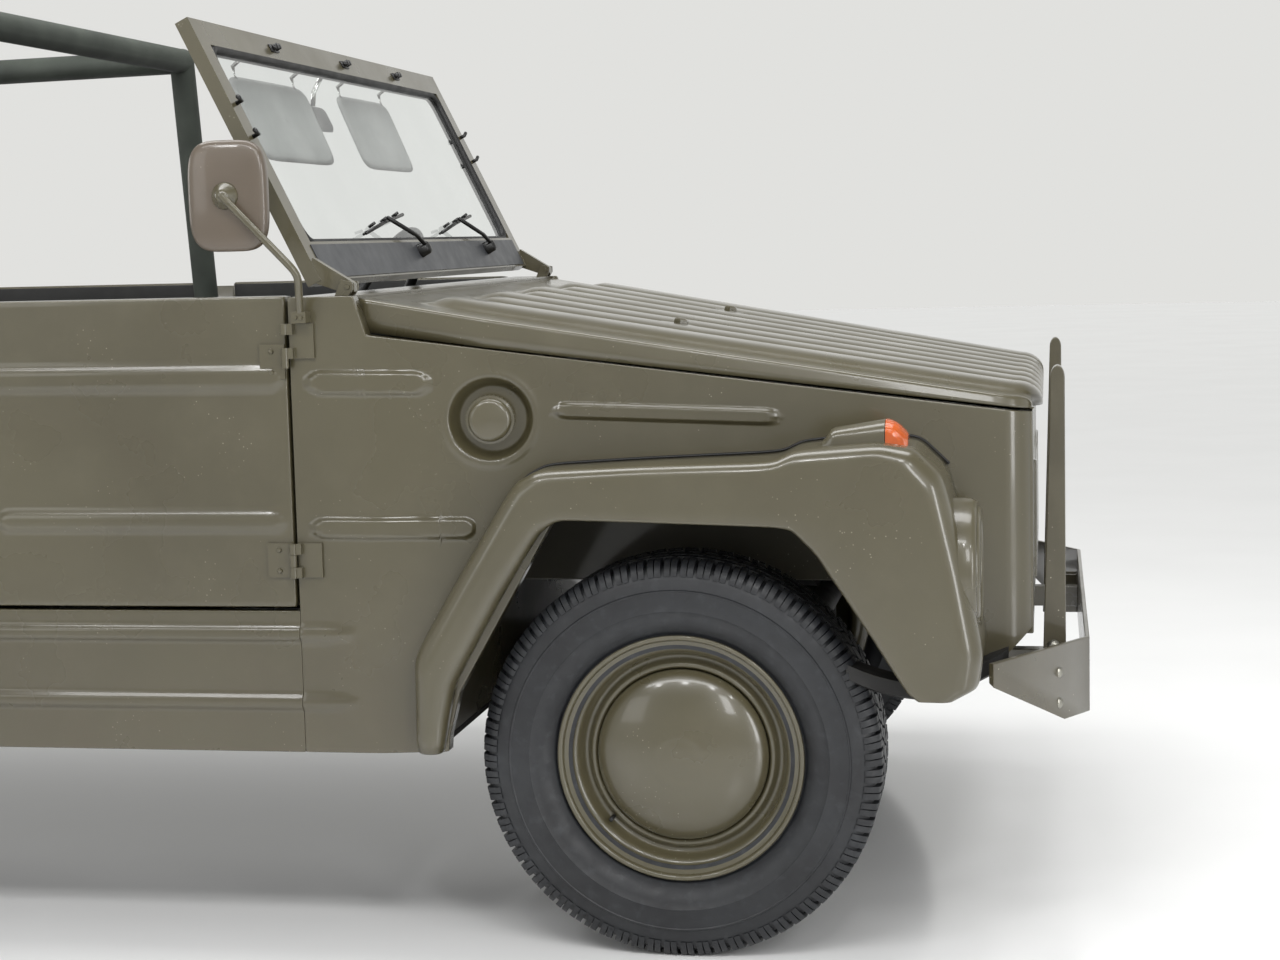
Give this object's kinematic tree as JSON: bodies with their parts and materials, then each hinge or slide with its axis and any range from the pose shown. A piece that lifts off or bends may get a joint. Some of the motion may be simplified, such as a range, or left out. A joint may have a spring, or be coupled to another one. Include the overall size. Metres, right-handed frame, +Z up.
{
  "type": "open military car",
  "caption": "Light open utility car with folding windscreen, ribbed panels, opening doors and lids, steered and rolling wheels, and a padded roll bar.",
  "frame": {"origin": "centre of the bounding box at the ground, between the wheels' tracks", "axes": "+X forward, +Y to the car's left, +Z up"},
  "size_m": [3.78, 1.652, 1.603],
  "materials": {
    "olive_paint": "semi-gloss olive drab paint",
    "olive_paint_inner": "satin olive drab paint",
    "black_underseal": "matt black underseal",
    "black_vinyl": "grained black vinyl",
    "padded_tube": "dark green-grey padding",
    "black_plastic": "black hard plastic",
    "lamp_glass": "lamp unit with clear lens",
    "amber_lens": "amber lens",
    "red_lens": "red lens",
    "black_chassis": "satin black chassis paint",
    "cast_housing": "rough cast housing",
    "exhaust_steel": "heat-dulled steel",
    "clear_glass": "clear laminated glass",
    "tyre_rubber": "black tyre rubber"
  },
  "bodies": {
    "chassis": {"floor_pan": "black_underseal", "sills": "olive_paint", "front_sides": "olive_paint", "rear_quarters": "olive_paint", "nose_panel": "olive_paint", "cowl": "olive_paint", "front_tray": "olive_paint_inner", "rear_deck": "olive_paint_inner", "tail_panel": "olive_paint", "front_guards": "olive_paint", "rear_guards": "olive_paint", "front_bumper": "olive_paint", "rear_bumper": "olive_paint", "roll_bar": "padded_tube", "front_seats": "black_vinyl", "rear_bench": "black_vinyl", "steering_column": "black_plastic", "mirror_right": "olive_paint", "headlamps": "lamp_glass", "indicators": "amber_lens", "tail_lamps": "red_lens", "filler_cap": "olive_paint", "hinge_leaves": "olive_paint", "front_axle": "black_chassis", "rear_axle": "black_chassis", "transaxle": "cast_housing", "engine": "cast_housing", "exhaust": "exhaust_steel"},
    "bonnet": {"bonnet": "olive_paint"},
    "engine_lid": {"engine_lid": "olive_paint"},
    "door_front_right": {"door_front_right": "olive_paint"},
    "door_front_left": {"door_front_left": "olive_paint"},
    "door_rear_right": {"door_rear_right": "olive_paint"},
    "door_rear_left": {"door_rear_left": "olive_paint"},
    "windscreen": {"screen_frame": "olive_paint", "screen_glass": "clear_glass", "wipers": "black_plastic"},
    "steering_wheel": {"steering_wheel": "black_plastic"},
    "knuckle_right": {"knuckle_right": "black_chassis"},
    "knuckle_left": {"knuckle_left": "black_chassis"},
    "wheel_front_right": {"rim_front_right": "olive_paint", "tyre_front_right": "tyre_rubber"},
    "wheel_front_left": {"rim_front_left": "olive_paint", "tyre_front_left": "tyre_rubber"},
    "wheel_rear_right": {"rim_rear_right": "olive_paint", "tyre_rear_right": "tyre_rubber"},
    "wheel_rear_left": {"rim_rear_left": "olive_paint", "tyre_rear_left": "tyre_rubber"}
  },
  "joints": [
    {"name": "steering_turn", "type": "hinge", "parent": "chassis", "child": "steering_wheel", "pos_m": [0.43, 0.345, 1.015], "axis": [-0.8829, 0, 0.4695], "range_deg": [-420, 420]},
    {"name": "steer_right", "type": "hinge", "parent": "chassis", "child": "knuckle_right", "pos_m": [1.24, -0.545, 0.325], "axis": [0, 0, 1], "range_deg": [-28.5, 28.5]},
    {"name": "steer_left", "type": "hinge", "parent": "chassis", "child": "knuckle_left", "pos_m": [1.24, 0.545, 0.325], "axis": [0, 0, 1], "range_deg": [-28.5, 28.5]},
    {"name": "roll_front_right", "type": "hinge", "parent": "knuckle_right", "child": "wheel_front_right", "pos_m": [1.24, -0.662, 0.325], "axis": [0, 1, 0], "continuous": true},
    {"name": "roll_front_left", "type": "hinge", "parent": "knuckle_left", "child": "wheel_front_left", "pos_m": [1.24, 0.662, 0.325], "axis": [0, 1, 0], "continuous": true},
    {"name": "roll_rear_right", "type": "hinge", "parent": "chassis", "child": "wheel_rear_right", "pos_m": [-1.16, -0.662, 0.325], "axis": [0, 1, 0], "continuous": true},
    {"name": "roll_rear_left", "type": "hinge", "parent": "chassis", "child": "wheel_rear_left", "pos_m": [-1.16, 0.662, 0.325], "axis": [0, 1, 0], "continuous": true},
    {"name": "door_front_right_hinge", "type": "hinge", "parent": "chassis", "child": "door_front_right", "pos_m": [0.623, -0.783, 0.83], "axis": [0, 0, 1], "range_deg": [0, 65]},
    {"name": "door_front_left_hinge", "type": "hinge", "parent": "chassis", "child": "door_front_left", "pos_m": [0.623, 0.783, 0.83], "axis": [0, 0, -1], "range_deg": [0, 65]},
    {"name": "door_rear_right_hinge", "type": "hinge", "parent": "chassis", "child": "door_rear_right", "pos_m": [-0.723, -0.783, 0.83], "axis": [0, 0, -1], "range_deg": [0, 65]},
    {"name": "door_rear_left_hinge", "type": "hinge", "parent": "chassis", "child": "door_rear_left", "pos_m": [-0.723, 0.783, 0.83], "axis": [0, 0, 1], "range_deg": [0, 65]},
    {"name": "bonnet_hinge", "type": "hinge", "parent": "chassis", "child": "bonnet", "pos_m": [0.726, 0, 1.071], "axis": [0, -1, 0], "range_deg": [0, 60]},
    {"name": "engine_lid_hinge", "type": "hinge", "parent": "chassis", "child": "engine_lid", "pos_m": [-1.59377, 0, 1.00419], "axis": [0, 1, 0], "range_deg": [0, 65]},
    {"name": "windscreen_fold", "type": "hinge", "parent": "chassis", "child": "windscreen", "pos_m": [0.72, 0, 1.092], "axis": [0, -1, 0], "range_deg": [-125, 0]}
  ],
  "couplings": [
    {"joint": "steer_right", "follows": "steering_turn", "ratio": 0.066667},
    {"joint": "steer_left", "follows": "steering_turn", "ratio": 0.066667}
  ]
}
